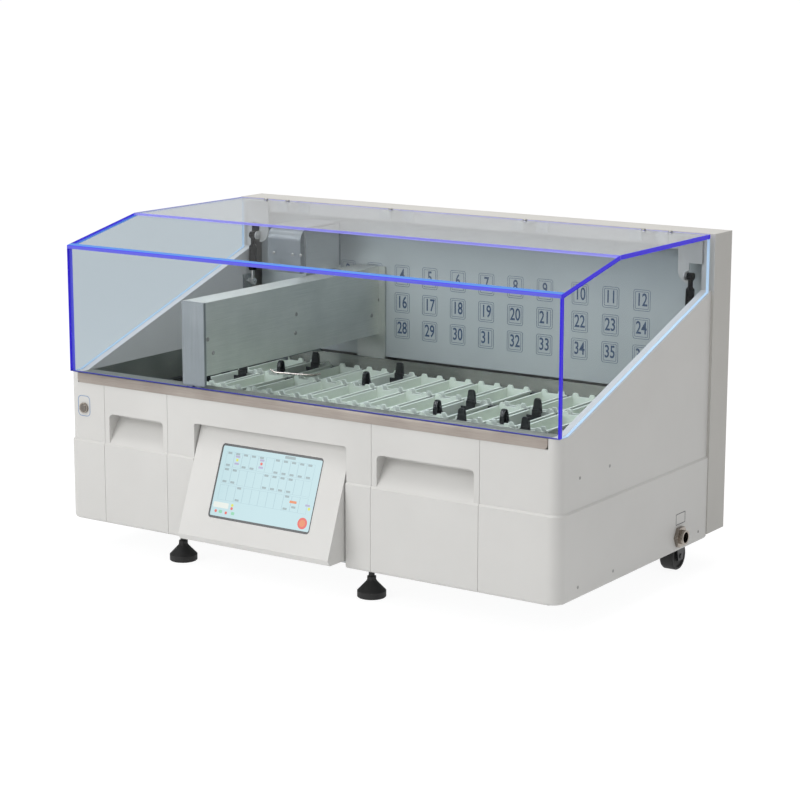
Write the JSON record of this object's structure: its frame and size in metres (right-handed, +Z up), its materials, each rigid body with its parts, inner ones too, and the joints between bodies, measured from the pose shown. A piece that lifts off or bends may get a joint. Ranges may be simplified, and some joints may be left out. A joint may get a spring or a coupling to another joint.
{
  "type": "slide stainer",
  "caption": "Bench slide stainer: rows of reagent baths in a steel tub, a travelling arm that lifts slide racks, a clear hinged hood, a tilted touch screen and two drawers.",
  "frame": {"origin": "middle of the bounding box in X and Y, on the bench that the feet stand on", "axes": "+X to the right along the front, +Y from the front to the back, +Z up"},
  "size_m": [1.218, 0.737, 0.699],
  "materials": {
    "casing_shell": "satin moulded, warm white",
    "screen_bezel": "satin moulded, warm white",
    "screen_glass": "polished cover glass",
    "bright_steel": "brushed",
    "painted_steel": "fine textured grey paint",
    "column_paint": "fine textured warm white paint",
    "galvanised_sheet": "zinc-plated sheet",
    "anodised_aluminium": "natural anodised",
    "bath_plastic": "pale green moulded polypropylene",
    "black_plastic": "black moulded",
    "black_rubber": "black, matt",
    "clear_acrylic": "polished clear sheet",
    "chromed_steel": "polished",
    "circuit_board": "green board in a plain tray",
    "copper_wire": "bare wire"
  },
  "bodies": {
    "chassis": {"base_frame": "galvanised_sheet", "bay_panels": "galvanised_sheet", "left_casing": "casing_shell", "right_casing": "casing_shell", "centre_panel": "casing_shell", "screen_bezel": "screen_bezel", "touch_screen": "screen_glass", "power_switch_body": "chromed_steel", "drawer_runners": "galvanised_sheet", "wash_tub": "bright_steel", "bath_carrier": "black_plastic", "bath_row_front": "bath_plastic", "bath_row_middle": "bath_plastic", "bath_row_rear": "bath_plastic", "resting_racks": "black_plastic", "wire_handle": "copper_wire", "column_cover": "column_paint", "back_wall": "painted_steel", "rear_panel": "column_paint", "power_inlet": "black_plastic", "x_rail": "anodised_aluminium", "x_drive": "black_plastic", "hood_fittings": "galvanised_sheet", "castor_forks": "galvanised_sheet", "drain_fitting": "chromed_steel", "drain_pipe": "black_plastic", "control_electronics": "circuit_board"},
    "hood": {"hood_front": "clear_acrylic", "hood_slope": "clear_acrylic", "hood_top": "clear_acrylic", "hood_sides": "clear_acrylic", "hood_brackets": "galvanised_sheet"},
    "right_strut_rod": {"right_strut_rod": "chromed_steel"},
    "right_strut_cylinder": {"right_strut_cylinder": "black_plastic"},
    "left_strut_rod": {"left_strut_rod": "chromed_steel"},
    "left_strut_cylinder": {"left_strut_cylinder": "black_plastic"},
    "gantry": {"x_carriage": "anodised_aluminium", "arm_bracket": "bright_steel", "arm_beam": "anodised_aluminium", "arm_cover": "bright_steel", "arm_end_cap": "painted_steel", "y_drive": "black_plastic"},
    "trolley": {"trolley_plate": "anodised_aluminium", "lift_cover": "bright_steel", "z_drive": "black_plastic"},
    "lift": {"lift_column": "anodised_aluminium", "gripper": "bright_steel"},
    "left_drawer": {"left_drawer_front": "casing_shell", "left_drawer_tray": "galvanised_sheet"},
    "right_drawer": {"right_drawer_front": "casing_shell", "right_drawer_tray": "galvanised_sheet"},
    "power_button": {"power_button": "chromed_steel"},
    "left_foot": {"left_foot": "black_rubber"},
    "right_foot": {"right_foot": "black_rubber"},
    "left_wheel": {"left_wheel": "black_rubber"},
    "right_wheel": {"right_wheel": "black_rubber"},
    "rack_rear": {"rack_rear": "black_plastic"},
    "rack_middle": {"rack_middle": "black_plastic"},
    "rack_front": {"rack_front": "black_plastic"}
  },
  "joints": [
    {"name": "hood_hinge", "type": "hinge", "parent": "chassis", "child": "hood", "pos_m": [-0.007, 0.2875, 0.692], "axis": [-1, 0, 0], "range_deg": [0, 50]},
    {"name": "right_strut_swing", "type": "hinge", "parent": "chassis", "child": "right_strut_rod", "pos_m": [0.549, 0.2715, 0.506], "axis": [1, 0, 0], "range_deg": [0, 23.53]},
    {"name": "right_strut_stroke", "type": "slide", "parent": "right_strut_rod", "child": "right_strut_cylinder", "axis": [0, 0.0388, 0.9992], "range_m": [0, 0.04921]},
    {"name": "left_strut_swing", "type": "hinge", "parent": "chassis", "child": "left_strut_rod", "pos_m": [-0.563, 0.2715, 0.506], "axis": [1, 0, 0], "range_deg": [0, 23.53]},
    {"name": "left_strut_stroke", "type": "slide", "parent": "left_strut_rod", "child": "left_strut_cylinder", "axis": [0, 0.0388, 0.9992], "range_m": [0, 0.04921]},
    {"name": "arm_travel", "type": "slide", "parent": "chassis", "child": "gantry", "axis": [1, 0, 0], "range_m": [-0.0736, 0.7555]},
    {"name": "lift_unit_travel", "type": "slide", "parent": "gantry", "child": "trolley", "axis": [0, 1, 0], "range_m": [-0.34, 0]},
    {"name": "gripper_lift", "type": "slide", "parent": "trolley", "child": "lift", "axis": [0, 0, 1], "range_m": [0, 0.11]},
    {"name": "left_drawer_slide", "type": "slide", "parent": "chassis", "child": "left_drawer", "axis": [0, -1, 0], "range_m": [0, 0.38]},
    {"name": "right_drawer_slide", "type": "slide", "parent": "chassis", "child": "right_drawer", "axis": [0, -1, 0], "range_m": [0, 0.38]},
    {"name": "power_button_press", "type": "slide", "parent": "chassis", "child": "power_button", "axis": [0, 1, 0], "range_m": [0, 0.0025], "stiffness_N_per_m": 600},
    {"name": "left_foot_adjust", "type": "slide", "parent": "chassis", "child": "left_foot", "axis": [0, 0, 1], "range_m": [-0.01, 0]},
    {"name": "right_foot_adjust", "type": "slide", "parent": "chassis", "child": "right_foot", "axis": [0, 0, 1], "range_m": [-0.01, 0]},
    {"name": "left_wheel_spin", "type": "hinge", "parent": "chassis", "child": "left_wheel", "pos_m": [-0.549, 0.2585, 0.03], "axis": [1, 0, 0], "continuous": true},
    {"name": "right_wheel_spin", "type": "hinge", "parent": "chassis", "child": "right_wheel", "pos_m": [0.535, 0.2585, 0.03], "axis": [1, 0, 0], "continuous": true},
    {"name": "rack_rear_lift", "type": "slide", "parent": "chassis", "child": "rack_rear", "axis": [0, 0, 1], "range_m": [0, 0.1]},
    {"name": "rack_middle_lift", "type": "slide", "parent": "chassis", "child": "rack_middle", "axis": [0, 0, 1], "range_m": [0, 0.1]},
    {"name": "rack_front_lift", "type": "slide", "parent": "chassis", "child": "rack_front", "axis": [0, 0, 1], "range_m": [0, 0.1]}
  ],
  "couplings": [
    {"joint": "right_strut_swing", "follows": "hood_hinge", "ratio": 0.47043},
    {"joint": "right_strut_stroke", "follows": "hood_hinge", "m_per_rad": 0.056334},
    {"joint": "left_strut_swing", "follows": "hood_hinge", "ratio": 0.47043},
    {"joint": "left_strut_stroke", "follows": "hood_hinge", "m_per_rad": 0.056334}
  ]
}
